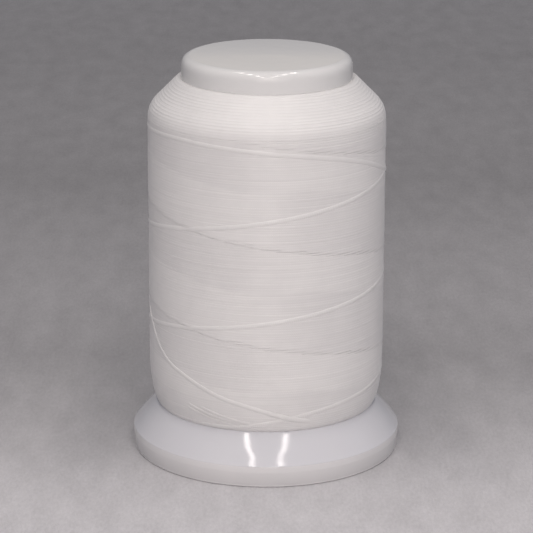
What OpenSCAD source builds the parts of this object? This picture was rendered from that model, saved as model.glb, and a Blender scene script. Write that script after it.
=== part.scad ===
// Thread spool: a hollow barrel with a closed head, a two-part snap base and a cone-shouldered winding.
// Millimetres, +Z up. The origin is the centre of the underside, on the surface the spool stands on.

/* [Spool] */
// Height from the table to the middle of the head's top
spool_h = 90.2; // [84:0.1:110]
// Radius of the head and of the barrel that the thread is wound on
head_r = 18.9; // [18.6:0.1:19.2]
// Radius of the top of the head, inside its rounded edge
head_flat_r = 17.1; // [16.6:0.1:17.4]
// Height of the top's middle above the start of its rounded edge
head_crown = 0.25; // [0:0.05:0.4]
// Height of the rounded edge of the head
head_edge_h = 2.2; // [1.6:0.1:3]
// Radius of the hollow core that the holder's spindle or hub enters
core_r = 16.6; // [16:0.1:16.8]

/* [Base] */
// Largest radius of the base
base_r = 30.15; // [30:0.05:32]
// Height of the parting line between the flange and the lock ring
parting_z = 4.8; // [4.6:0.1:5.4]
// Radius at which the thread meets the flange
foot_r = 24.5; // [24.2:0.1:24.9]
// Height at which the thread meets the flange
foot_z = 10.85; // [10.4:0.05:11.2]
// Wall thickness of the base mouldings
wall = 1.6; // [1.4:0.1:1.7]
// Distance the spool lifts off the lock ring to free the thread's end
lock_travel = 3; // [2.4:0.1:3]

/* [Winding] */
// Radius of the wound body, to the crown of the turns
body_r = 26.5; // [25.9:0.05:26.8]
// Height at which the wound shoulder meets the head
shoulder_top_z = 85.1; // [80:0.1:86]
// Height of the corner between the straight body and the shoulder's cone
shoulder_z = 78.5; // [74:0.1:79]
// Diameter of the thread
thread_d = 0.5; // [0.4:0.05:0.55]
// Turns laid at a fine pitch, from the head down to the base
fine_loops = 20; // [8:1:20]
// Rise of the last, steep turns in one turn round the body
cross_pitch = 22.6; // [21:0.2:30]
// Clear space between the steep turns and the fine turns they cross
cross_gap = 0.46; // [0.45:0.01:0.6]

/* [Hidden] */
$fn = 96;
plastic_white = [0.9, 0.9, 0.91];
ring_white = [0.86, 0.86, 0.87];
thread_white = [0.93, 0.92, 0.91];
strand_white = [0.97, 0.96, 0.95];

// Running clearance between the lock ring and what it slides past
slide_gap = 0.3;
// Gap at the closed parting line, which the thread's end springs open
nip_gap = 0.005;
// The barrel's lower end stays this far above the table
barrel_lift = 0.5;
curve_steps = 10;

// Lock ring
ring_top_z = parting_z - nip_gap;
ring_foot_r = base_r - 0.3;
ring_edge_r = base_r - 0.02;
ring_bulge_z = 3.4;
foot_chamfer = 0.2;
ring_hole_r = head_r + slide_gap;
plate_t = 1.8;
snap_r = 22;
snap_wall = 1.2;
snap_top_z = 7.6;
hook_t = 1;
hook_reach = 0.8;
hook_slope = 0.6;
rim_fillet = 0.3;
pocket_in_r = snap_r - 0.6;
pocket_out_r = base_r - 2.6;
pocket_depth = 0.8;
pocket_ribs = 24;
pocket_rib_w = 1;

// Flange
dome_bend = [base_r - 2.81, 8.24];
dome_end = [base_r - 1.6, 6.77];
rim_top = [base_r - 0.22, 5.1];
rim_bend = [base_r - 0.01, 4.86];
hub_r = head_r + wall;
hub_bottom_z = 5.6;
hub_top_z = 12.4;
catch_in_r = snap_r + snap_wall + hook_reach + slide_gap;
catch_out_r = catch_in_r + 1.1;
catch_bottom_z = snap_top_z - hook_t - lock_travel - 1;
catch_lip_t = 0.8;
catch_lip_r = snap_r + snap_wall + slide_gap;
catch_lead = 0.3;
under_z = foot_z - wall;
under_drop = 1.2;
rim_under_r = ring_edge_r - wall;
rim_under_bend = [rim_under_r - 0.4, dome_end[1] - 0.6];

// Head cap
cap_seam_z = shoulder_top_z - 3;
cap_top_t = 2;
cap_fillet = 0.6;
spigot_l = 6;
spigot_wall = 1.4;
spigot_r = core_r + 0.7;
spigot_in_r = spigot_r - spigot_wall;
spigot_seat_z = cap_seam_z - spigot_l;
edge_top_z = spool_h - head_crown;
edge_corner = [head_r - 0.05, edge_top_z - 0.25];
crown_steps = 5;

// Side of the wound package, without its outer turns
turn_stand = 0.2;
pack_r = body_r - turn_stand;
roll_h = 12;
roll_bend_h = 2.4;
blend = 2.3;
lip_w = 0.85;
lip_blend = 0.6;
lip_corner = [head_r + lip_w, shoulder_top_z];
cone_foot = [pack_r, shoulder_z];
cone_way = (lip_corner - cone_foot) / norm(lip_corner - cone_foot);

// Outer turns: a ring of six sides every 15 degrees
ring_sides = 6;
rings_per_loop = 24;
sector = 360 / rings_per_loop;
fine_lift = turn_stand;
cross_lift = fine_lift + (thread_d + cross_gap) / cos(sector / 2);
turn_loops = 0.5;
low_margin = 1.4;
high_margin = 2.2;
first_angle = -120;

// Point on a curve that leaves a towards b and arrives at c from b
function bend(a, b, c, t) = a * (1 - t) * (1 - t) + 2 * b * t * (1 - t) + c * t * t;
function bend_points(a, b, c) = [for (i = [0:curve_steps]) bend(a, b, c, i / curve_steps)];

// Outline of the package from its lowest outer edge up to the head
function side_points() = concat(
    bend_points([foot_r, foot_z], [pack_r, foot_z + roll_bend_h], [pack_r, foot_z + roll_h]),
    bend_points([pack_r, shoulder_z - blend], cone_foot, cone_foot + cone_way * blend),
    bend_points(lip_corner - cone_way * lip_blend, lip_corner, [head_r, shoulder_top_z])
);
side = side_points();

// Distance along the outline, with tables of radius and height against it
function run_to(i) = i == 0 ? 0 : run_to(i - 1) + norm(side[i] - side[i - 1]);
runs = [for (i = [0:len(side) - 1]) run_to(i)];
run_radius = [for (i = [0:len(side) - 1]) [runs[i], side[i][0]]];
run_height = [for (i = [0:len(side) - 1]) [runs[i], side[i][1]]];
side_run = runs[len(runs) - 1];
low_run = low_margin;
high_run = side_run - high_margin;
normal_step = 0.8;

function side_at(s) = [lookup(s, run_radius), lookup(s, run_height)];
function side_way(s) = side_at(s + normal_step) - side_at(s - normal_step);
function side_out(s) = let (w = side_way(s)) [w[1], -w[0]] / norm(w);
function off_side(s, lift, angle) =
    let (p = side_at(s) + side_out(s) * lift)
    [p[0] * cos(angle), p[0] * sin(angle), p[1]];

// The turns run down at a fine pitch, turn back over half a loop while they climb a layer, and rise steeply
wound_run = high_run - low_run;
cross_loops = wound_run / cross_pitch;
fine_pitch = wound_run / fine_loops;
all_loops = fine_loops + turn_loops + cross_loops;
rings = floor(all_loops * rings_per_loop);
function ease(t) = t * t * (3 - 2 * t);
function back_part(n) = min(1, max(0, (n - fine_loops) / turn_loops));
function run_at(n) =
    n < fine_loops ? high_run - n * fine_pitch : low_run + max(0, n - fine_loops - turn_loops) * cross_pitch;
function lift_at(n) = fine_lift + (cross_lift - fine_lift) * ease(back_part(n));
function angle_at(n) = first_angle + (n - fine_loops - turn_loops) * 360;
function turn_point(n) = off_side(run_at(n), lift_at(n), angle_at(n));

// Both ends turn square into the package and run straight until they are under its surface
last_loop = rings / rings_per_loop;
turns = [for (i = [0:rings]) turn_point(i / rings_per_loop)];
route = concat(
    [off_side(run_at(0), fine_lift - thread_d, angle_at(0))],
    turns,
    [off_side(run_at(last_loop), -thread_d / 2, angle_at(last_loop))]
);

// Least distance between two straight pieces of the route
function within(t) = min(1, max(0, t));
function piece_gap(a, b, c, d) =
    let (u = b - a, v = d - c, w = a - c)
    let (uu = u * u, uv = u * v, vv = v * v, uw = u * w, vw = v * w)
    let (spread = uu * vv - uv * uv)
    let (s = spread < 1e-9 ? 0 : within((uv * vw - vv * uw) / spread))
    let (t = within((uv * s + vw) / vv))
    let (r = within((uv * t - uw) / uu))
    norm(a + u * r - c - v * t);
loop_gaps = [
    for (i = [0:rings - 1])
        for (k = [i + rings_per_loop - 1:rings_per_loop:rings - 3])
            for (j = [k:k + 2])
                piece_gap(turns[i], turns[i + 1], turns[j], turns[j + 1]) - thread_d
];
echo(least_gap_of_turns_mm = min(loop_gaps));
echo(loops = last_loop, fine_pitch_mm = fine_pitch);

// One unbroken tube with a ring of sides at each point of the route
module tube(points, d) {
    last = len(points) - 1;
    up = [0, 0, 1];
    ways = [for (i = [0:last]) points[min(i + 1, last)] - points[max(i - 1, 0)]];
    outs = [for (w = ways) cross(w, up) / norm(cross(w, up))];
    tops = [for (i = [0:last]) cross(outs[i], ways[i]) / norm(ways[i])];
    skin = [
        for (i = [0:last])
            for (k = [0:ring_sides - 1])
                let (turn = k * 360 / ring_sides)
                    points[i] + (outs[i] * cos(turn) + tops[i] * sin(turn)) * d / 2
    ];
    walls = [
        for (i = [0:last - 1])
            for (k = [0:ring_sides - 1])
                let (a = i * ring_sides + k, b = i * ring_sides + (k + 1) % ring_sides)
                    for (face = [[a, b, a + ring_sides], [b, b + ring_sides, a + ring_sides]])
                        face
    ];
    first_end = [for (k = [1:ring_sides - 2]) [0, k + 1, k]];
    last_ring = last * ring_sides;
    last_end = [for (k = [1:ring_sides - 2]) [last_ring, last_ring + k, last_ring + k + 1]];
    polyhedron(points = skin, faces = concat(walls, first_end, last_end), convexity = 10);
}

// Lower half of the base: a plate with a rim, and a collar whose hook keeps it on the flange
module lock_ring() {
    color(ring_white)
    difference() {
        rotate_extrude()
        polygon(concat(
            [[ring_hole_r, 0], [ring_foot_r - foot_chamfer, 0], [ring_foot_r, foot_chamfer]],
            [[base_r, ring_bulge_z], [ring_edge_r, ring_top_z], [ring_edge_r - wall, ring_top_z]],
            [[base_r - wall - rim_fillet, plate_t], [snap_r + snap_wall, plate_t]],
            [[snap_r + snap_wall, snap_top_z - hook_t], [snap_r + snap_wall + hook_reach, snap_top_z - hook_t]],
            [[snap_r + snap_wall + hook_reach - hook_slope, snap_top_z], [snap_r, snap_top_z]],
            [[snap_r, plate_t], [ring_hole_r, plate_t]]
        ));
        difference() {
            rotate_extrude()
            translate([pocket_in_r, -pocket_depth])
            square([pocket_out_r - pocket_in_r, 2 * pocket_depth]);
            for (i = [0:pocket_ribs - 1])
                rotate(i * 360 / pocket_ribs)
                translate([pocket_in_r - 1, -pocket_rib_w / 2, -2 * pocket_depth])
                cube([pocket_out_r - pocket_in_r + 2, pocket_rib_w, 4 * pocket_depth]);
        }
    }
}

// Upper half of the base: a domed flange with a hub on the barrel and a catch for the ring's hook
module base_flange() {
    color(plastic_white)
    rotate_extrude()
    polygon(concat(
        bend_points([ring_edge_r, parting_z], rim_bend, rim_top),
        bend_points(dome_end, dome_bend, [foot_r, foot_z]),
        [[hub_r, hub_top_z], [head_r, hub_top_z], [head_r, hub_bottom_z]],
        [[hub_r, hub_bottom_z], [hub_r, under_z], [catch_in_r, under_z]],
        [[catch_in_r, catch_bottom_z + catch_lip_t]],
        [[catch_lip_r, catch_bottom_z + catch_lip_t], [catch_lip_r + catch_lead, catch_bottom_z]],
        [[catch_out_r, catch_bottom_z], [catch_out_r, under_z - under_drop]],
        bend_points([catch_out_r + catch_lead, under_z - under_drop], rim_under_bend, [rim_under_r, parting_z])
    ));
}

// The tube that the thread is wound on, open at the bottom, with a wider seat for the cap at its top
module spool_barrel() {
    color(plastic_white)
    difference() {
        translate([0, 0, barrel_lift])
        cylinder(r = head_r, h = cap_seam_z - barrel_lift);
        cylinder(r = core_r, h = cap_seam_z);
        translate([0, 0, spigot_seat_z])
        cylinder(r = spigot_r, h = 2 * spigot_l);
    }
}

// Closed head with a rounded edge, and a spigot that stands on the seat inside the barrel's mouth
module head_cap() {
    color(plastic_white)
    rotate_extrude()
    polygon(concat(
        [for (t = [0:1 / crown_steps:0.99]) [head_flat_r * t, spool_h - head_crown * t * t]],
        bend_points([head_flat_r, edge_top_z], edge_corner, [head_r, edge_top_z - head_edge_h]),
        [[head_r, cap_seam_z], [spigot_r, cap_seam_z], [spigot_r, spigot_seat_z]],
        [[spigot_in_r, spigot_seat_z], [spigot_in_r, spool_h - cap_top_t - cap_fillet]],
        [[spigot_in_r - cap_fillet, spool_h - cap_top_t], [0, spool_h - cap_top_t]]
    ));
}

// The wound thread under its outer turns, from the flange to the head
module thread_package() {
    color(thread_white)
    rotate_extrude()
    polygon(concat(side, [[head_r, hub_top_z], [hub_r, hub_top_z]]));
}

// Outer turns of thread: fine ones laid down to the base, then the steep last ones across them
module outer_winding() {
    color(strand_white)
    tube(route, thread_d);
}

lock_ring();
base_flange();
spool_barrel();
head_cap();
thread_package();
outer_winding();
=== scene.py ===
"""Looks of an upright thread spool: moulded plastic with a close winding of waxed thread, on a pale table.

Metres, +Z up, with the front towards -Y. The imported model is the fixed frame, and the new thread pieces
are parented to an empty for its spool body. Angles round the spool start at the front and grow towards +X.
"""

import logging
import math
from dataclasses import dataclass, field
from enum import Enum
from typing import Sequence

import bpy
import numpy as np
from mathutils import Matrix, Vector


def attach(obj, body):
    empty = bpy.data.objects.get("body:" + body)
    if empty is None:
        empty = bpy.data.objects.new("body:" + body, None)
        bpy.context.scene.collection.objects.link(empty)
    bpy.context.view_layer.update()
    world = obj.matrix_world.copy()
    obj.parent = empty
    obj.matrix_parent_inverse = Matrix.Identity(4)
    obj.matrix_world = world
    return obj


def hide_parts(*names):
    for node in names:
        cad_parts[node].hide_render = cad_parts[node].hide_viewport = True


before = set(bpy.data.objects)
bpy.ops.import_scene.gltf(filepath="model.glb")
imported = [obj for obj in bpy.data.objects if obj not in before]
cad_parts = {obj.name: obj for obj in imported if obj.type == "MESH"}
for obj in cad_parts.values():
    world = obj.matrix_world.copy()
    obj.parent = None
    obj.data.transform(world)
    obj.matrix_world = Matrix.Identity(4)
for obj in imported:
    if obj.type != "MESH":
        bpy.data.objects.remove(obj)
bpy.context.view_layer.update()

MM = 0.001
NOISE_SPAN = (0.3, 0.7)
log = logging.getLogger("thread_spool")

# A low and a high value, points of a curve, a colour, a value for each axis, and the rings of a thread.
Span = tuple[float, float]
Knots = Sequence[Span]
Colour = tuple[float, float, float]
Axes = tuple[float, float, float]
Laid = tuple[np.ndarray, np.ndarray, np.ndarray]


class Body(Enum):
    """Names of the bodies that new pieces ride on."""

    SPOOL = "spool"


class Slot(Enum):
    """Name of the material slot for the thread's finish, which nothing in the script uses."""

    THREAD = "waxed_thread"


class Attribute(Enum):
    """Names of what the meshes hold for their materials."""

    TONE = "tone"
    LAY_MAP = "lay"
    BAKE_MAP = "OFBake"


class Face(Enum):
    """How the thread's relief runs: round each outer turn, or level where the turns under them show."""

    PLIES = "plies"
    LEVEL = "level"


# ---------------------------------------------------------------------------------------------------------
# Shapes


def ease(t: np.ndarray) -> np.ndarray:
    """Returns t, held between 0 and 1, with a soft start and end."""
    t = np.clip(t, 0.0, 1.0)
    return t * t * (3 - 2 * t)


def ramp(value: np.ndarray, none: float, full: float) -> np.ndarray:
    """Returns 0 to 1 as a value goes from one place to another, held at both ends."""
    return ease((value - none) / (full - none))


def past(value: np.ndarray, reach: float) -> np.ndarray:
    """Returns 0 to 1 as a value passes nought, with the change spread over a reach about it."""
    return ease(value / reach + 0.5)


def smooth_through(knots: Knots, x: np.ndarray) -> np.ndarray:
    """Follows a smooth curve through a few knots.

    Args:
        knots: Places and values, with the places rising.
        x: Places to read the curve at.

    Returns:
        The curve's value at each place.
    """
    kx, ky = np.array(knots, float).T
    slope = np.gradient(ky, kx)
    i = np.clip(np.searchsorted(kx, x, side="right") - 1, 0, len(kx) - 2)
    step = kx[i + 1] - kx[i]
    t = np.clip((x - kx[i]) / step, 0.0, 1.0)
    start = (2 * t**3 - 3 * t**2 + 1) * ky[i] + (t**3 - 2 * t**2 + t) * step * slope[i]
    end = (3 * t**2 - 2 * t**3) * ky[i + 1] + (t**3 - t**2) * step * slope[i + 1]
    return start + end


def wander(x: np.ndarray, size: float, seed: int, waves: int = 5) -> np.ndarray:
    """Makes a smooth random wobble, the same at each run.

    Args:
        x: Places to read it at.
        size: Length of its typical wave, in the unit of x.
        seed: Which wobble it is.
        waves: Number of sines in it.

    Returns:
        The wobble, mostly between -1 and 1.
    """
    draw = np.random.default_rng(seed)
    lengths = size * draw.uniform(0.5, 1.9, waves)
    shifts = draw.uniform(0, 2 * math.pi, waves)
    total = sum(np.sin(2 * math.pi * x / length + shift) for length, shift in zip(lengths, shifts))
    return total / math.sqrt(waves)


def bend(a: Sequence[float], b: Sequence[float], c: Sequence[float], steps: int = 16) -> np.ndarray:
    """Walks a curve that leaves a towards b and arrives at c from b.

    Args:
        a: Where it starts.
        b: The corner that it rounds.
        c: Where it ends.
        steps: Number of straight pieces.

    Returns:
        The curve's points.
    """
    t = np.linspace(0, 1, steps + 1)[:, None]
    return np.array(a) * (1 - t) ** 2 + 2 * np.array(b) * t * (1 - t) + np.array(c) * t**2


def round_the_axis(radius: np.ndarray, height: np.ndarray, angle: np.ndarray) -> np.ndarray:
    """Returns points at these radii and heights, at these angles in degrees from the front."""
    turn = np.radians(angle)
    return np.stack([radius * np.sin(turn), -radius * np.cos(turn), height + 0 * turn], axis=-1)


class Outline:
    """The side of a turned shape, as radius and height, walked from its foot up."""

    def __init__(self, points: np.ndarray) -> None:
        """Keeps the points and the distance walked to each.

        Args:
            points: Radius and height of each.
        """
        self.points = points
        steps = np.linalg.norm(np.diff(points, axis=0), axis=1)
        self.run = np.concatenate([[0.0], np.cumsum(steps)])

    @property
    def length(self) -> float:
        """The whole distance along the side."""
        return float(self.run[-1])

    def at(self, run: np.ndarray) -> np.ndarray:
        """Returns radius and height at distances along the side."""
        return np.stack([np.interp(run, self.run, self.points[:, k]) for k in (0, 1)], axis=-1)

    def out(self, run: np.ndarray, reach: float = 0.5 * MM) -> np.ndarray:
        """Finds which way faces out.

        Args:
            run: Distances along the side.
            reach: How far to each side the slope is read.

        Returns:
            Unit steps in radius and height, square to the side.
        """
        way = self.at(run + reach) - self.at(run - reach)
        square = np.stack([way[..., 1], -way[..., 0]], axis=-1)
        return square / np.linalg.norm(square, axis=-1, keepdims=True)

    def run_at_height(self, height: np.ndarray) -> np.ndarray:
        """Returns the distance along the side at which it reaches a height."""
        return np.interp(height, self.points[:, 1], self.run)

    def place(
        self, run: np.ndarray, lift: np.ndarray, angle: np.ndarray
    ) -> tuple[np.ndarray, np.ndarray]:
        """Finds points that stand off the side.

        Args:
            run: Distances along the side.
            lift: How far off the side each stands.
            angle: Degrees round the axis.

        Returns:
            The points, and the way out at each.
        """
        out = self.out(run)
        spot = self.at(run) + out * np.asarray(lift)[..., None]
        nowhere = np.zeros_like(spot[..., 0])
        flat = round_the_axis(out[..., 0], nowhere, angle)
        flat[..., 2] = out[..., 1]
        return round_the_axis(spot[..., 0], spot[..., 1], angle), flat


def make_object(name: str, points: np.ndarray, faces: list[Sequence[int]]) -> bpy.types.Object:
    """Makes a smooth-shaded mesh object and puts it in the scene.

    Args:
        name: Name of the piece.
        points: Its corners.
        faces: Corner numbers of each face, seen from outside.

    Returns:
        The new object.
    """
    mesh = bpy.data.meshes.new(name)
    mesh.from_pydata(points.tolist(), [], faces)
    mesh.shade_smooth()
    mesh.update()
    piece = bpy.data.objects.new(name, mesh)
    bpy.context.scene.collection.objects.link(piece)
    return piece


def add_map(piece: bpy.types.Object, name: Attribute, places: np.ndarray) -> None:
    """Adds a UV map with one place for each face corner."""
    layer = piece.data.uv_layers.new(name=name.value)
    layer.data.foreach_set("uv", places.astype(np.float32).ravel())


def add_tone(piece: bpy.types.Object, tone: np.ndarray) -> None:
    """Gives each corner a tone, from -1 for darker to 1 for lighter. On the thread it holds both a drifting
    tone and painted sheen.
    """
    layer = piece.data.attributes.new(Attribute.TONE.value, "FLOAT", "POINT")
    layer.data.foreach_set("value", tone.astype(np.float32))


def turned_mesh(name: str, points: np.ndarray) -> bpy.types.Object:
    """Makes a closed turned mesh with a bake map.

    Args:
        name: Name of the piece.
        points: Its corners, as columns round the axis, each running up the outside and down the inside.

    Returns:
        The new object.
    """
    columns, rows = points.shape[:2]
    number = np.arange(columns * rows).reshape(columns, rows)
    after = np.roll(number, -1, axis=0)
    walls = [number, after, np.roll(after, -1, axis=1), np.roll(number, -1, axis=1)]
    faces = np.stack(walls, axis=-1).reshape(-1, 4)
    piece = make_object(name, points.reshape(-1, 3), faces.tolist())
    steps = np.linalg.norm(np.diff(points[0], axis=0, append=points[0, :1]), axis=1)
    run = np.concatenate([[0.0], np.cumsum(steps)]) / steps.sum()
    column, row = np.divmod(np.arange(columns * rows), rows)
    left, right, low, high = column / columns, (column + 1) / columns, run[row], run[row + 1]
    add_map(piece, Attribute.BAKE_MAP, np.stack([left, low, right, low, right, high, left, high], axis=-1))
    return piece


@dataclass
class Strand:
    """One unbroken thread that follows a path of points, with a ring of sides at each."""

    name: str
    path: np.ndarray
    out: np.ndarray
    tone: np.ndarray
    width: np.ndarray
    height: np.ndarray
    rings_per_row: int
    sides: int = 8

    def skin(self) -> np.ndarray:
        """Wraps a ring of sides round each point of the path.

        Returns:
            The corners of all the rings, one after the other.
        """
        way = np.gradient(self.path, axis=0)
        way /= np.linalg.norm(way, axis=1, keepdims=True)
        side = np.cross(way, self.out)
        side /= np.linalg.norm(side, axis=1, keepdims=True)
        top = np.cross(side, way)
        turn = np.linspace(0, 2 * math.pi, self.sides, endpoint=False)[:, None]
        up = (top * self.height[:, None] / 2)[:, None] * np.cos(turn)
        across = (side * self.width[:, None] / 2)[:, None] * np.sin(turn)
        return (self.path[:, None] + up + across).reshape(-1, 3)

    def walls(self) -> np.ndarray:
        """Joins each ring to the next.

        Returns:
            The four corner numbers of each wall face, ring by ring.
        """
        ring = np.arange(len(self.path) - 1)[:, None] * self.sides
        here = np.arange(self.sides)[None]
        there = (here + 1) % self.sides
        corners = [ring + here, ring + there, ring + self.sides + there, ring + self.sides + here]
        return np.stack(corners, axis=-1).reshape(-1, 4)

    def maps(self) -> tuple[np.ndarray, np.ndarray]:
        """Lays the walls out flat.

        Returns:
            The lay map, in millimetres along the thread and shares of a turn round it, and the bake map,
            with the thread in rows. Both end with the corners of the two ends.
        """
        steps = np.linalg.norm(np.diff(self.path, axis=0), axis=1) / MM
        along = np.concatenate([[0.0], np.cumsum(steps)])
        count = len(self.path) - 1
        ring = np.repeat(np.arange(count), self.sides)
        here = np.tile(np.arange(self.sides), count) / self.sides
        there = here + 1 / self.sides
        back, front = along[ring], along[ring + 1]
        lay = np.stack([back, here, back, there, front, there, front, here], axis=-1)
        rows = math.ceil(count / self.rings_per_row)
        start = (ring % self.rings_per_row) / self.rings_per_row
        end = start + 1 / self.rings_per_row
        low, high = ((ring // self.rings_per_row + share) / rows for share in (here, there))
        bake = np.stack([start, low, start, high, end, high, end, low], axis=-1)
        caps = np.full((2 * self.sides, 2), 0.5 / rows)
        return tuple(np.concatenate([flat.reshape(-1, 2), caps]) for flat in (lay, bake))

    def build(self) -> bpy.types.Object:
        """Makes the thread as a closed tube, with its maps and its tone.

        Returns:
            The new object.
        """
        last = (len(self.path) - 1) * self.sides
        first_cap = list(range(self.sides))[::-1]
        last_cap = [last + k for k in range(self.sides)]
        piece = make_object(self.name, self.skin(), [*self.walls().tolist(), first_cap, last_cap])
        lay, bake = self.maps()
        add_map(piece, Attribute.LAY_MAP, lay)
        add_map(piece, Attribute.BAKE_MAP, bake)
        add_tone(piece, np.repeat(self.tone, self.sides))
        return piece


# ---------------------------------------------------------------------------------------------------------
# Finishes


class Recipe:
    """A node material being put together, with a short call for each kind of node in the finishes."""

    def __init__(self, name: str) -> None:
        """Starts a material that holds one Principled shader.

        Args:
            name: Name of the material.
        """
        self.material = bpy.data.materials.new(name)
        self.material.use_nodes = True
        self.tree = self.material.node_tree
        self.tree.nodes.clear()
        self.shader = self.tree.nodes.new("ShaderNodeBsdfPrincipled")
        output = self.tree.nodes.new("ShaderNodeOutputMaterial")
        self.tree.links.new(self.shader.outputs["BSDF"], output.inputs["Surface"])

    def node(self, kind: str, links: dict[str | int, object], **settings: object) -> bpy.types.Node:
        """Adds a node.

        Args:
            kind: Its type, without the common start of the name.
            links: What goes into its sockets, as an output socket or a plain value.
            **settings: Its own properties.

        Returns:
            The node.
        """
        made = self.tree.nodes.new("ShaderNode" + kind)
        for key, value in settings.items():
            setattr(made, key, value)
        for key, value in links.items():
            if isinstance(value, bpy.types.NodeSocket):
                self.tree.links.new(value, made.inputs[key])
            else:
                made.inputs[key].default_value = value
        return made

    def place(self, stretch: Axes = (1, 1, 1)) -> bpy.types.NodeSocket:
        """Adds the place on the object, as something that noise and waves can follow.

        Args:
            stretch: How far what follows it is drawn out along each axis.

        Returns:
            The place in millimetres.
        """
        spot = self.node("TexCoord", {}).outputs["Object"]
        scale = [1 / (MM * s) for s in stretch]
        return self.node("VectorMath", {0: spot, 1: scale}, operation="MULTIPLY").outputs[0]

    def noise(
        self, place: bpy.types.NodeSocket, size: float, detail: float = 2, rough: float = 0.5
    ) -> bpy.types.NodeSocket:
        """Adds cloudy noise.

        Args:
            place: Where it is read, in millimetres.
            size: Size of its clouds in millimetres.
            detail: Number of finer layers on top.
            rough: Strength of those layers.

        Returns:
            The noise, which mostly keeps to NOISE_SPAN.
        """
        links = {"Vector": place, "Scale": 1 / size, "Detail": detail, "Roughness": rough}
        return self.node("TexNoise", links).outputs["Fac"]

    def sums(self, operation: str, a: object, b: object, c: object = 0.0) -> bpy.types.NodeSocket:
        """Returns the result of a sum on two or three values."""
        return self.node("Math", {0: a, 1: b, 2: c}, operation=operation).outputs[0]

    def waves(self, value: bpy.types.NodeSocket, turn: float) -> bpy.types.NodeSocket:
        """Returns waves from 0 to 1 along a value, whose angle turns this much for each unit of it."""
        wave = self.sums("SINE", self.sums("MULTIPLY", value, turn), 0.0)
        return self.sums("MULTIPLY_ADD", wave, 0.5, 0.5)

    def spread(self, value: object, span: Span, to: Span = (0.0, 1.0)) -> bpy.types.NodeSocket:
        """Stretches a value from one span to another, and holds it inside.

        Args:
            value: What is stretched.
            span: Its own low and high.
            to: What those turn into.

        Returns:
            The stretched value.
        """
        links = {"Value": value, "From Min": span[0], "From Max": span[1], "To Min": to[0], "To Max": to[1]}
        return self.node("MapRange", links).outputs["Result"]

    def blend(self, share: object, first: Colour, second: Colour) -> bpy.types.NodeSocket:
        """Mixes two colours.

        Args:
            share: How much there is of the second, from 0 to 1.
            first: One colour.
            second: The other.

        Returns:
            The colour between them.
        """
        mix = self.node("Mix", {"Factor": share}, data_type="RGBA")
        first_colour, second_colour, mixed = mix.inputs[6], mix.inputs[7], mix.outputs[2]
        first_colour.default_value = (*first, 1)
        second_colour.default_value = (*second, 1)
        return mixed

    def bump(
        self, height: object, depth: float, under: bpy.types.NodeSocket | None = None
    ) -> bpy.types.NodeSocket:
        """Adds fine relief to a surface.

        Args:
            height: The relief, from 0 to 1.
            depth: How deep it is in millimetres.
            under: The normal that it is laid on.

        Returns:
            The new normal.
        """
        links: dict[str | int, object] = {"Height": height, "Distance": depth * MM, "Strength": 1.0}
        if under is not None:
            links["Normal"] = under
        return self.node("Bump", links).outputs["Normal"]

    def give(self, **values: object) -> None:
        """Sets sockets of the shader.

        Args:
            **values: An output socket or a plain value for each, named with _ for a space.
        """
        for key, value in values.items():
            socket = self.shader.inputs[key.replace("_", " ")]
            if isinstance(value, bpy.types.NodeSocket):
                self.tree.links.new(value, socket)
            else:
                socket.default_value = value


@dataclass(frozen=True)
class MouldedPlastic:
    """White plastic as it comes from a polished mould. Sizes are in millimetres."""

    name: str
    light: Colour = (0.715, 0.712, 0.742)
    dark: Colour = (0.695, 0.692, 0.727)
    cloud: float = 14.0
    gloss: float = 0.08
    haze: float = 0.05
    haze_span: Span = (0.35, 0.7)
    ripple: float = 5.0
    ripple_depth: float = 0.02
    grain: float = 0.5
    grain_depth: float = 0.0006
    # Painted shade: the colour darkens towards the foot. Painted light: it lightens again at the very bottom
    # edge.
    foot_painted_shade: float = 1.0
    foot_shade_height: float = 4.6
    edge_painted_light: float = 1.0
    edge_light_height: float = 0.6
    scuff: float = 1.0
    scuff_stretch: Axes = (6, 6, 0.4)
    scuff_height: float = 1.2
    scuff_span: Span = (0.5, 0.62)
    scuff_haze: float = 0.35
    scuff_depth: float = 0.01
    ior: float = 1.49

    def material(self) -> bpy.types.Material:
        """Builds the plastic, with cloudy colour, rippled gloss, mould grain and a duller, scuffed foot. Its
        colour is painted darker towards the foot (painted shade) and lighter at the very bottom edge
        (painted light).

        Returns:
            The material.
        """
        make = Recipe(self.name)
        place = make.place()
        clouds = make.noise(place, self.cloud, detail=3)
        ripples = make.noise(place, self.ripple, detail=1)
        grain = make.noise(place, self.grain, detail=2)
        marks = make.noise(make.place(self.scuff_stretch), self.scuff, detail=3)
        height = make.node("SeparateXYZ", {0: place}).outputs["Z"]
        low_down = make.spread(height, (self.scuff_height, 0.0))
        scuffs = make.sums("MULTIPLY", make.spread(marks, self.scuff_span), low_down)
        hazy = make.spread(clouds, self.haze_span, (self.gloss, self.gloss + self.haze))
        # Painted light at the bottom edge and painted shade towards the foot, multiplied into the colour.
        edge = make.spread(height, (0.0, self.edge_light_height), (self.edge_painted_light, 1.0))
        foot = make.spread(height, (0.0, self.foot_shade_height), (self.foot_painted_shade, 1.0))
        shade = make.sums("MULTIPLY", foot, edge)
        cloudy = make.blend(make.spread(clouds, NOISE_SPAN), self.light, self.dark)
        relief = make.bump(ripples, self.ripple_depth)
        relief = make.bump(grain, self.grain_depth, relief)
        make.give(
            Base_Color=make.node("VectorMath", {0: cloudy, 1: shade}, operation="MULTIPLY").outputs[0],
            Roughness=make.sums("MULTIPLY_ADD", scuffs, self.scuff_haze, hazy),
            Normal=make.bump(scuffs, self.scuff_depth, relief),
            IOR=self.ior,
        )
        return make.material


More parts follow.
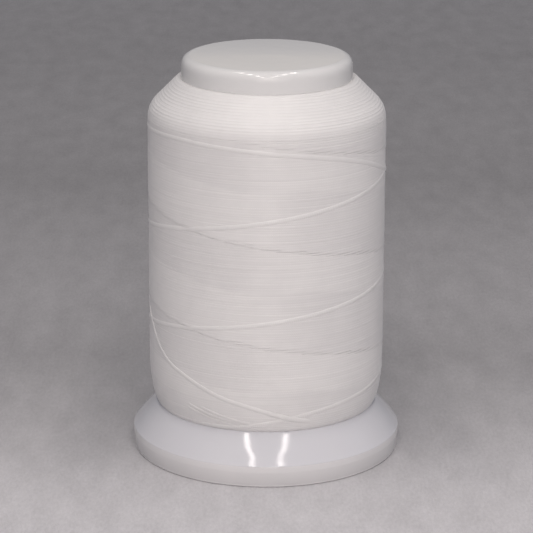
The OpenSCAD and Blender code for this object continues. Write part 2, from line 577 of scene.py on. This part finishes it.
@dataclass(frozen=True)
class WaxedThread:
    """White twisted thread with a thin coat of wax. Sizes are in millimetres."""

    name: str
    light: Colour = (0.86, 0.845, 0.835)
    dark: Colour = (0.80, 0.785, 0.78)
    waxy: float = 0.44
    dry: float = 0.58
    wax_span: Span = (0.35, 0.65)
    stretch: float = 0.8
    stretch_turn: float = 0.25
    plies: int = 3
    twist: float = 1.3
    twist_depth: float = 0.012
    level_pitch: float = 0.25
    fibre: float = 0.06
    fibre_stretch: Axes = (8, 8, 1)
    fibre_depth: float = 0.004
    patch: float = 5.0
    patch_tone: Span = (0.25, 0.75)
    drift_and_sheen: float = -0.22
    ior: float = 1.54
    face: Face = Face.PLIES

    def twisted(self, make: Recipe) -> bpy.types.NodeSocket:
        """Adds the plies of the thread, slanting round it.

        Args:
            make: The material that they are for.

        Returns:
            Their relief, from 0 to 1.
        """
        flat = make.node("UVMap", {}, uv_map=Attribute.LAY_MAP.value).outputs["UV"]
        parts = make.node("SeparateXYZ", {0: flat}).outputs
        turns = make.sums("MULTIPLY_ADD", parts["X"], 1 / self.twist, parts["Y"])
        return make.waves(turns, 2 * math.pi * self.plies)

    def level(self, make: Recipe) -> bpy.types.NodeSocket:
        """Returns relief from 0 to 1 for the level turns that show between the outer ones."""
        height = make.node("SeparateXYZ", {0: make.place()}).outputs["Z"]
        return make.waves(height, 2 * math.pi / self.level_pitch)

    def material(self) -> bpy.types.Material:
        """Builds the thread, with tone that drifts from turn to turn plus painted sheen carried in the
        mesh's tone, patchy wax, relief and fibres.

        Returns:
            The material.
        """
        make = Recipe(self.name)
        place = make.place()
        patches = make.noise(place, self.patch, detail=3)
        fibres = make.noise(make.place(self.fibre_stretch), self.fibre, detail=2)
        # The mesh's tone holds the thread's drifting tone and painted sheen.
        tone_and_painted_sheen = make.node("Attribute", {}, attribute_name=Attribute.TONE.value).outputs["Fac"]
        patchy = make.spread(patches, NOISE_SPAN, self.patch_tone)
        tone = make.sums("MULTIPLY_ADD", tone_and_painted_sheen, self.drift_and_sheen, patchy)
        relief = self.twisted(make) if self.face is Face.PLIES else self.level(make)
        make.give(
            Base_Color=make.blend(tone, self.light, self.dark),
            Roughness=make.spread(patches, self.wax_span, (self.waxy, self.dry)),
            Normal=make.bump(fibres, self.fibre_depth, make.bump(relief, self.twist_depth)),
            IOR=self.ior,
            Anisotropic=self.stretch,
            Anisotropic_Rotation=self.stretch_turn,
            Tangent=make.node("Tangent", {}, direction_type="RADIAL", axis="Z").outputs[0],
        )
        return make.material


@dataclass(frozen=True)
class PaleTable:
    """A plain pale table covering, painted lighter in front and greyer towards the back: painted light
    falloff.

    The painted falloff is a distance to the back in metres and how pale it is there. Other sizes are in
    millimetres.
    """

    name: str = "pale_table"
    # Painted light falloff: pale in front, greyer towards the back.
    painted_falloff: tuple[Span, ...] = (
        (-0.075, 0.63), (-0.03, 0.60), (0.012, 0.46), (0.06, 0.365), (0.107, 0.395), (0.165, 0.379),
        (0.235, 0.33), (0.315, 0.366), (0.43, 0.38), (0.543, 0.43),
    )
    warmth: Colour = (1.01, 0.99, 1.015)
    mottle: float = 7.0
    speck: float = 0.7
    mottled: Span = (0.93, 1.07)
    nap: float = 2.6
    felt: float = 0.56
    felt_depth: float = 0.12
    dull: float = 0.9
    shine: float = 0.2

    def material(self) -> bpy.types.Material:
        """Builds the covering, with painted light falloff from front to back, mottling and specks drawn out
        along its nap, and a felted surface.

        Returns:
            The material.
        """
        make = Recipe(self.name)
        place = make.place((1, self.nap, 1))
        back = make.sums("MULTIPLY", make.node("SeparateXYZ", {0: place}).outputs["Y"], self.nap * MM)
        first, last = self.painted_falloff[0][0], self.painted_falloff[-1][0]
        # Painted light falloff, read off by the distance to the back.
        painted_falloff_ramp = make.node("ValToRGB", {0: make.spread(back, (first, last))})
        stops = painted_falloff_ramp.color_ramp.elements
        while len(stops) < len(self.painted_falloff):
            stops.new(0.5)
        for stop, (where, tint) in zip(stops, self.painted_falloff):
            stop.position = (where - first) / (last - first)
            stop.color = (*(tint * w for w in self.warmth), 1)
        mottle = make.spread(make.noise(place, self.mottle, detail=4, rough=0.6), NOISE_SPAN, self.mottled)
        specks = make.spread(make.noise(place, self.speck, detail=3, rough=0.7), NOISE_SPAN, self.mottled)
        shade = {0: painted_falloff_ramp.outputs["Color"], 1: make.sums("MULTIPLY", mottle, specks)}
        felt = make.noise(place, self.felt, detail=4, rough=0.7)
        make.give(
            Base_Color=make.node("VectorMath", shade, operation="MULTIPLY").outputs[0],
            Roughness=self.dull,
            Normal=make.bump(felt, self.felt_depth),
            Specular_IOR_Level=self.shine,
        )
        return make.material


# ---------------------------------------------------------------------------------------------------------
# The spool


def dress(node: str, finish: MouldedPlastic) -> bpy.types.Object:
    """Puts a finish on a moulding of the frame.

    Args:
        node: Name of the piece.
        finish: What it is made of.

    Returns:
        The piece.
    """
    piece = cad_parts[node]
    material = finish.material()
    for place in piece.material_slots:
        place.material = material
    return piece


@dataclass
class SnapBase:
    """The base: a domed flange on the spool, and the ring that it snaps on to."""

    flange: str = "base_flange"
    ring: str = "lock_ring"
    flange_finish: MouldedPlastic = MouldedPlastic("flange_plastic")
    # The ring's plastic is set lighter than the flange's, painted light for its steep wall. Its foot carries
    # painted shade and its bottom edge painted light.
    ring_finish: MouldedPlastic = MouldedPlastic(
        "ring_plastic",
        light=(0.84, 0.825, 0.83),
        dark=(0.81, 0.80, 0.805),
        gloss=0.12,
        foot_painted_shade=0.77,
        edge_painted_light=1.3,
    )

    def build(self) -> list[bpy.types.Object]:
        """Gives both mouldings their plastic and returns them."""
        return [dress(self.flange, self.flange_finish), dress(self.ring, self.ring_finish)]


@dataclass
class BarrelAndHead:
    """The tube that carries the thread, and the closed head plugged into its top."""

    barrel: str = "spool_barrel"
    head: str = "head_cap"
    barrel_finish: MouldedPlastic = MouldedPlastic("barrel_plastic", gloss=0.2)
    head_finish: MouldedPlastic = MouldedPlastic(
        "head_plastic", light=(0.79, 0.785, 0.78), dark=(0.77, 0.765, 0.76)
    )

    def build(self) -> list[bpy.types.Object]:
        """Gives both mouldings their plastic and returns them."""
        return [dress(self.barrel, self.barrel_finish), dress(self.head, self.head_finish)]


@dataclass
class Winding:
    """All the thread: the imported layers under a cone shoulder, and the turns that show on them.

    The thread is laid towards growing angles. Routes are knots of degrees and millimetres above the table.
    Waves and fades along the thread are in degrees. A crest is how far the top of a thread stands out.
    """

    # The package, walked from its foot over the roll, the body and the shoulder to the lip at the head.
    head_r: float = 18.9 * MM
    shoulder_top: float = 85.1 * MM
    shoulder_z: float = 78.5 * MM
    foot_r: float = 24.5 * MM
    foot_z: float = 10.85 * MM
    hub_r: float = 20.5 * MM
    hub_top: float = 12.4 * MM
    side_r: float = 26.32 * MM
    roll_h: float = 12 * MM
    roll_bend: float = 2.4 * MM
    blend: float = 2.3 * MM
    lip: float = 0.85 * MM
    lip_blend: float = 0.6 * MM
    shell_rows: int = 170

    # All threads, as width and height: flat where they are pressed together, fuller where they are free.
    rings_per_loop: int = 84
    pressed: Span = (0.62 * MM, 0.04 * MM)
    free: Span = (1.15 * MM, 0.22 * MM)
    shoulder_height: float = 0.22 * MM
    shoulder_fade: float = 3 * MM

    # The fine turns, from the head down to where the thread turns back.
    body_pitch: float = 0.58 * MM
    shoulder_pitch: float = 0.76 * MM
    body_crest: float = 0.006 * MM
    shoulder_crest: float = 0.028 * MM
    unevenness: float = 0.003 * MM
    uneven_wave: float = 700.0
    sway: float = 0.02 * MM
    sway_wave: float = 500.0
    tone_waves: Span = (900.0, 300.0)
    head_margin: float = 0.3 * MM
    head_sink: float = 0.36 * MM
    head_fade: float = 120.0
    turn_back: float = -100.0
    turn_z: float = 11.2 * MM

    # The steep last turns, which cross over themselves on the way down. They are painted lighter, as painted
    # sheen.
    steep_crest: float = 0.075 * MM
    steep_painted_sheen: float = 1.0
    freeing: float = 60.0
    steep_fade: float = 18.0
    steep_route: Knots = (
        (-100, 11.2), (-30, 11.45), (-21, 11.6), (-12, 12.05), (0, 13.05), (13, 14.25), (71, 18.0),
        (322, 33.6), (360, 36.2), (682, 56.0), (720, 58.8), (945, 73.0), (990, 74.4), (1010, 74.9),
        (1034, 75.3), (1055, 74.9), (1080, 74.0), (1105, 72.6), (1130, 70.1), (1158, 65.8), (1170, 64.3),
        (1235, 55.6), (1300, 45.2), (1335, 38.4), (1360, 32.8), (1375, 26.8), (1386, 23.8), (1396, 22.3),
        (1406, 20.6), (1420, 18.4), (1428, 17.5), (1440, 15.9), (1452, 14.2), (1474, 12.0),
    )
    descent: float = 1025.0
    rise_z: float = 13.7 * MM
    rise_pitch: float = 22.65 * MM
    cross_bump: float = 0.16 * MM
    cross_reach: float = 1.2 * MM

    # The steep turns of the lay below, which show most at the left of the front and near their start.
    under_crest: Span = (-0.03 * MM, 0.022 * MM)
    under_middle: float = -22.0
    under_reach: float = 25.0
    under_start: float = 100.0
    under_tone: float = 0.4
    under_fades: tuple[float, float, float] = (20.0, 30.0, 25.0)
    under_route: Knots = (
        (-4, 75.7), (0, 75.5), (77, 69.0), (327, 55.7), (360, 53.3), (418, 49.3), (682, 33.7), (720, 30.5),
        (785, 25.8), (1043, 14.9), (1068, 13.1), (1080, 12.4),
    )

    # Short stretches of thread that stand off the others. Their ends are sunk by a share of their crest.
    loose_crest: float = 0.09 * MM
    loose_sink: float = 0.5
    loose_freed: float = 0.15
    loose_routes: tuple[Knots, ...] = (
        ((-52, 16.2), (-39, 14.5), (-30, 13.52), (-20, 12.65), (-8, 12.0)),
        ((-50, 16.9), (-40, 15.55), (-30, 14.4), (-20, 13.38), (-4, 12.3)),
        ((-44, 17.0), (-32, 15.45), (-24, 14.5), (-15, 13.5), (0, 12.5)),
    )

    # The top lays, each above a ledge, with painted sheen in their tone: lays that lean either way are
    # painted light on one side of the front and dark on the other. The part of one that shines one way is a
    # share of its height.
    ledge: float = 0.09 * MM
    ledge_pitch: float = 22.5 * MM
    ledge_z: float = 53.2 * MM
    ledge_sway: float = 0.6 * MM
    ledge_soft: float = 0.6 * MM
    ledge_foot: Span = (15 * MM, 20 * MM)
    ledge_head: Span = (77 * MM, 74 * MM)
    tone_and_painted_sheen: float = 1.8
    sheen_turn: float = 3.0
    sheen_switch: float = 4.0
    sheen_share: float = 0.56
    sheen_share_sway: float = 0.06

    side: Outline = field(init=False)

    def __post_init__(self) -> None:
        """Works out the side of the package from its sizes."""
        corner = np.array([self.side_r, self.shoulder_z])
        lip = np.array([self.head_r + self.lip, self.shoulder_top])
        way = (lip - corner) / np.linalg.norm(lip - corner)
        roll_top = (self.side_r, self.foot_z + self.roll_h)
        self.side = Outline(np.concatenate([
            bend((self.foot_r, self.foot_z), (self.side_r, self.foot_z + self.roll_bend), roll_top),
            bend(corner - (0, self.blend), corner, corner + way * self.blend),
            bend(lip - way * self.lip_blend, lip, (self.head_r, self.shoulder_top)),
        ]))

    def lays(self, run: np.ndarray, angle: np.ndarray) -> tuple[np.ndarray, np.ndarray]:
        """Finds how the top lays show: each starts at a ledge line that winds down round the body.

        Args:
            run: Distances along the side.
            angle: Degrees round the axis.

        Returns:
            How far they stand out, most just above each ledge, and their tone, which is painted sheen. Lays
            that lean either way shine on different sides, so the tone is painted light on the left of the
            front and dark on its right.
        """
        height = self.side.at(run)[..., 1]
        line = self.ledge_z - self.ledge_pitch * angle / 360 - self.ledge_sway * np.sin(np.radians(angle))
        early = self.ledge_soft / 2
        above = np.mod(height - line + early, self.ledge_pitch) - early
        start = past(above, self.ledge_soft)
        # Painted sheen: which side of the front each lay is painted light on.
        side = np.clip(-self.sheen_switch * np.sin(np.radians(angle - self.sheen_turn)), -1, 1)
        low_part = (self.sheen_share - self.sheen_share_sway * side) * self.ledge_pitch
        light = start * past(low_part - above, self.ledge_soft)
        on_body = ramp(height, *self.ledge_foot) * ramp(height, *self.ledge_head)
        relief = self.ledge * start * (1 - above / self.ledge_pitch) * on_body
        return relief, self.tone_and_painted_sheen * side * (2 * light - 1) * on_body

    def on_shoulder(self, run: np.ndarray) -> np.ndarray:
        """Returns 0 on the body and 1 on the shoulder's cone, for distances along the side."""
        return past(run - self.side.run_at_height(self.shoulder_z), self.shoulder_fade)

    def shell(self) -> bpy.types.Object:
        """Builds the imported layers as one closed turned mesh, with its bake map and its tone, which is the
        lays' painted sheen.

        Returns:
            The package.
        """
        run = np.linspace(0, self.side.length, self.shell_rows)
        angle = self.turn_back + np.arange(self.rings_per_loop) * 360 / self.rings_per_loop
        grid_run, grid_angle = np.meshgrid(run, angle)
        relief, tone = self.lays(grid_run, grid_angle)
        outer, _ = self.side.place(grid_run, relief, grid_angle)
        inner = np.array([(self.head_r, self.hub_top), (self.hub_r, self.hub_top)])
        wall = [round_the_axis(r, z, angle) for r, z in inner]
        points = np.concatenate([outer, np.stack(wall, axis=1)], axis=1)
        piece = turned_mesh("thread_body", points)
        # The shell's tone is the lays' painted sheen.
        add_tone(piece, np.pad(tone, ((0, 0), (0, len(inner)))).ravel())
        return piece

    def fine_turns(self) -> Laid:
        """Winds the fine turns, from the head down to where the thread turns back.

        Returns:
            The angle, distance along the side and crest of each ring.
        """
        runs = [float(self.side.run_at_height(self.turn_z))]
        while runs[-1] < self.side.length - self.head_margin:
            wider = self.shoulder_pitch - self.body_pitch
            pitch = self.body_pitch + wider * float(self.on_shoulder(np.array(runs[-1])))
            runs.append(runs[-1] + pitch / self.rings_per_loop)
        run = np.array(runs[::-1])
        angle = self.turn_back - np.arange(len(run))[::-1] * 360 / self.rings_per_loop
        crest = self.body_crest + (self.shoulder_crest - self.body_crest) * self.on_shoulder(run)
        crest += self.unevenness * wander(angle, self.uneven_wave, seed=3)
        crest -= self.head_sink * (1 - ease((angle - angle[0]) / self.head_fade))
        return angle, run + self.sway * wander(angle, self.sway_wave, seed=4), crest

    def steep_turns(self) -> Laid:
        """Lays the last turns, which rise steeply across the fine ones and come down again over themselves.

        Returns:
            The angle, distance along the side and crest of each ring.
        """
        last = self.steep_route[-1][0]
        angle = np.arange(self.turn_back, last, 360 / self.rings_per_loop)[1:]
        height = smooth_through(self.steep_route, angle) * MM
        gap = height - self.rise_z - self.rise_pitch * angle / 360
        gap = np.mod(gap + self.rise_pitch / 2, self.rise_pitch) - self.rise_pitch / 2
        over = self.cross_bump * np.exp(-((gap / self.cross_reach) ** 2)) * (angle > self.descent)
        crest = self.body_crest + (self.steep_crest - self.body_crest) * self.freed(angle) + over
        crest -= self.free[1] * ease((angle - last) / self.steep_fade + 1)
        return angle, self.side.run_at_height(height), crest

    def freed(self, angle: np.ndarray) -> np.ndarray:
        """Returns 0 where the outer thread is pressed into its neighbours and 1 where it crosses them."""
        return ease((angle - self.turn_back) / self.freeing)

    def strand(self, name: str, laid: Laid, tone: np.ndarray, freed: np.ndarray) -> bpy.types.Object:
        """Builds one thread.

        Args:
            name: Name of the piece.
            laid: The angle, distance along the side and crest of each ring.
            tone: How light each ring is.
            freed: 0 where a ring is pressed into its neighbours, 1 where it isn't.

        Returns:
            The thread.
        """
        angle, run, crest = laid
        flat = self.pressed[1] + (self.shoulder_height - self.pressed[1]) * self.on_shoulder(run)
        width = self.pressed[0] + (self.free[0] - self.pressed[0]) * freed
        height = flat + (self.free[1] - flat) * freed
        relief, tone_and_painted_sheen = self.lays(run, angle)
        path, out = self.side.place(run, crest - height / 2 + relief, angle)
        # The lays' painted sheen is added to the tone where the thread is pressed in.
        tone = tone + tone_and_painted_sheen * (1 - freed)
        return Strand(name, path, out, tone, width, height, self.rings_per_loop).build()

    def outer_turns(self) -> bpy.types.Object:
        """Builds the unbroken outer thread: the fine turns and the steep ones after them.

        Returns:
            The thread.
        """
        laid = tuple(np.concatenate(parts) for parts in zip(self.fine_turns(), self.steep_turns()))
        freed = self.freed(laid[0])
        long_wave, short_wave = self.tone_waves
        tone = 0.5 * wander(laid[0], long_wave, seed=11) + 0.5 * wander(laid[0], short_wave, seed=12)
        # The steep turns are painted lighter, as painted sheen.
        return self.strand("outer_turns", laid, tone + (self.steep_painted_sheen - tone) * freed, freed)

    def rings(self, first: float, last: float) -> np.ndarray:
        """Spaces rings in step with those of the fine turns.

        Args:
            first: Where the first ring may be, in degrees.
            last: Where there are no more.

        Returns:
            The angle of each ring.
        """
        step = 360 / self.rings_per_loop
        skipped = math.ceil((first - self.turn_back) / step)
        return self.turn_back + step * np.arange(skipped, (last - self.turn_back) / step)

    def loose_turns(self) -> list[bpy.types.Object]:
        """Builds the short stretches of thread that stand off the others at the foot of the body.

        Returns:
            The stretches.
        """
        pieces = []
        for number, route in enumerate(self.loose_routes, start=1):
            angle = self.rings(route[0][0], route[-1][0])
            run = self.side.run_at_height(smooth_through(route, angle) * MM)
            share = np.linspace(0, 1, len(angle))
            crest = self.loose_crest * ((1 + self.loose_sink) * np.sin(math.pi * share) - self.loose_sink)
            freed = np.full(len(angle), self.loose_freed)
            name = f"loose_turn_{number}"
            pieces.append(self.strand(name, (angle, run, crest), np.zeros(len(angle)), freed))
        return pieces

    def under_turns(self) -> bpy.types.Object:
        """Builds the steep turns of the lay below, which show as low ridges among the fine ones.

        Returns:
            The thread of that lay.
        """
        first, last = self.under_route[0][0], self.under_route[-1][0]
        angle = self.rings(first, last)
        height = smooth_through(self.under_route, angle) * MM
        away = np.abs(np.mod(angle - self.under_middle + 180, 360) - 180)
        low, high = self.under_crest
        rise, dive, end = self.under_fades
        in_front = past(self.under_reach - away, self.under_reach)
        shown = np.maximum(in_front, ease((self.under_start - angle) / dive))
        crest = low + (high - low) * shown
        crest -= self.free[1] * (ease((angle - last) / end + 1) + 1 - ease((angle - first) / rise))
        laid = (angle, self.side.run_at_height(height), crest)
        return self.strand("under_turns", laid, np.full(len(angle), self.under_tone), np.ones(len(angle)))

    def build(self) -> list[bpy.types.Object]:
        """Builds the thread's pieces, dresses them and puts them on the spool.

        Returns:
            The pieces.
        """
        shell, outer = self.shell(), self.outer_turns()
        strands = [outer, self.under_turns(), *self.loose_turns()]
        thread = WaxedThread("wound_thread").material()
        shell.data.materials.append(WaxedThread("packed_thread", face=Face.LEVEL).material())
        for piece in strands:
            piece.data.materials.append(thread)
        for piece in (shell, *strands):
            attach(piece, Body.SPOOL.value)
        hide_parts("thread_package")
        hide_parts("outer_winding")
        return [shell, *strands]


# ---------------------------------------------------------------------------------------------------------
# The room


@dataclass(frozen=True)
class Box:
    """A soft box that shines at the spool. Sizes are in metres, angles in degrees."""

    name: str
    size: tuple[float, float]
    power: float
    turn: float
    rise: float
    distance: float

    def way(self) -> Vector:
        """Returns the way from the spool to the box."""
        turn, rise = math.radians(self.turn), math.radians(self.rise)
        return Vector((math.sin(turn) * math.cos(rise), -math.cos(turn) * math.cos(rise), math.sin(rise)))


@dataclass
class Studio:
    """The table that the spool stands on, the lamps and the camera.

    Sizes are in metres, angles in degrees and powers in watts.
    """

    table_x: float = 1.5
    table_front: float = -1.2
    table_back: float = 2.0
    table_drop: float = 0.00005
    table_finish: PaleTable = PaleTable()
    camera_place: Axes = (0.00003, -0.549382, 0.205277)
    camera_down: float = 16.607
    camera_roll: float = 0.18
    camera_near: float = 0.01
    lens_mm: float = 172.21
    lamp_tint: Colour = (1.0, 0.938, 0.907)
    room_tint: Colour = (0.856, 0.895, 1.0)
    strip_gap: float = 0.292
    strip_width: float = 0.057
    strip_front: float = -1.98
    strip_back: float = 0.3
    strip_height: float = 0.9
    strip_turn: float = 0.9
    strip_splay: float = 5.7
    strip_power: float = 5.42
    front_box: Box = Box("front_box", (1.0, 0.8), 2.4, 5.0, 17.0, 1.2)
    core_box: Box = Box("core_box", (0.5, 0.8), 1.2, 2.0, 17.0, 1.2)
    side_box: Box = Box("side_box", (1.0, 1.0), 0.72, 90.0, 20.0, 1.4)
    back_box: Box = Box("back_box", (0.25, 0.5), 0.08, 180.0, 24.0, 1.6)
    core_tint: Colour = (1.0, 0.88, 0.81)
    back_tint: Colour = (1.0, 0.85, 0.6)
    room_light: float = 0.176

    def table(self) -> bpy.types.Object:
        """Builds the flat table, which isn't part of the spool.

        Returns:
            The table.
        """
        x, low, high, z = self.table_x, self.table_front, self.table_back, -self.table_drop
        corners = np.array([(-x, low, z), (x, low, z), (x, high, z), (-x, high, z)])
        top = make_object("table", corners, [(0, 1, 2, 3)])
        top.data.materials.append(self.table_finish.material())
        return top

    def lamp(
        self, name: str, size: tuple[float, float], power: float, tint: Colour, spot: Vector, turn: Matrix
    ) -> None:
        """Hangs a soft rectangular lamp.

        Args:
            name: Name of the lamp.
            size: Its width and height.
            power: Its power in watts.
            tint: The colour of its light.
            spot: Where its middle is.
            turn: How it is turned from shining straight down.
        """
        light = bpy.data.lights.new(name, "AREA")
        light.shape = "RECTANGLE"
        light.size, light.size_y = size
        light.energy = power
        light.color = tint
        lamp = bpy.data.objects.new(name, light)
        lamp.location = spot
        lamp.rotation_euler = turn.to_euler()
        bpy.context.scene.collection.objects.link(lamp)

    def lamps(self) -> None:
        """Hangs two strips over the front of the table, and soft boxes round the spool."""
        pair_turn = Matrix.Rotation(math.radians(self.strip_turn), 3, "Z")
        middle = (self.strip_front + self.strip_back) / 2
        size = (self.strip_width, self.strip_back - self.strip_front)
        for side in (-1, 1):
            spot = pair_turn @ Vector((side * self.strip_gap / 2, middle, self.strip_height))
            splay = Matrix.Rotation(math.radians(-side * self.strip_splay), 3, "Z")
            self.lamp("strip", size, self.strip_power, self.lamp_tint, spot, pair_turn @ splay)
        boxes = [
            (self.front_box, self.lamp_tint),
            (self.core_box, self.core_tint),
            (self.side_box, self.room_tint),
            (self.back_box, self.back_tint),
        ]
        for box, tint in boxes:
            box_turn = box.way().to_track_quat("Z", "Y").to_matrix()
            self.lamp(box.name, box.size, box.power, tint, box.way() * box.distance, box_turn)

    def room(self) -> None:
        """Fills the room with even grey light."""
        world = bpy.data.worlds.new("room")
        world.use_nodes = True
        world.node_tree.nodes["Background"].inputs["Color"].default_value = (*self.room_tint, 1)
        world.node_tree.nodes["Background"].inputs["Strength"].default_value = self.room_light
        bpy.context.scene.world = world

    def camera(self) -> None:
        """Sets up the camera, before the spool and a little above it."""
        data = bpy.data.cameras.new("camera")
        data.lens = self.lens_mm
        data.clip_start = self.camera_near
        camera = bpy.data.objects.new("camera", data)
        down = Matrix.Rotation(math.radians(90 - self.camera_down), 3, "X")
        camera.rotation_euler = (down @ Matrix.Rotation(math.radians(self.camera_roll), 3, "Z")).to_euler()
        camera.location = self.camera_place
        bpy.context.scene.collection.objects.link(camera)
        bpy.context.scene.camera = camera

    def build(self) -> list[bpy.types.Object]:
        """Sets up the whole room.

        Returns:
            The table, which is all of it that has faces.
        """
        self.camera()
        self.lamps()
        self.room()
        bpy.context.scene.view_settings.view_transform = "Standard"
        return [self.table()]


def main() -> None:
    """Builds the room and the spool, piece by piece."""
    logging.basicConfig(level=logging.INFO, format="%(message)s")
    for part in (Studio(), SnapBase(), BarrelAndHead(), Winding()):
        for piece in part.build():
            log.info("%s: %s with %d faces", type(part).__name__, piece.name, len(piece.data.polygons))


if __name__ == "__main__":
    main()
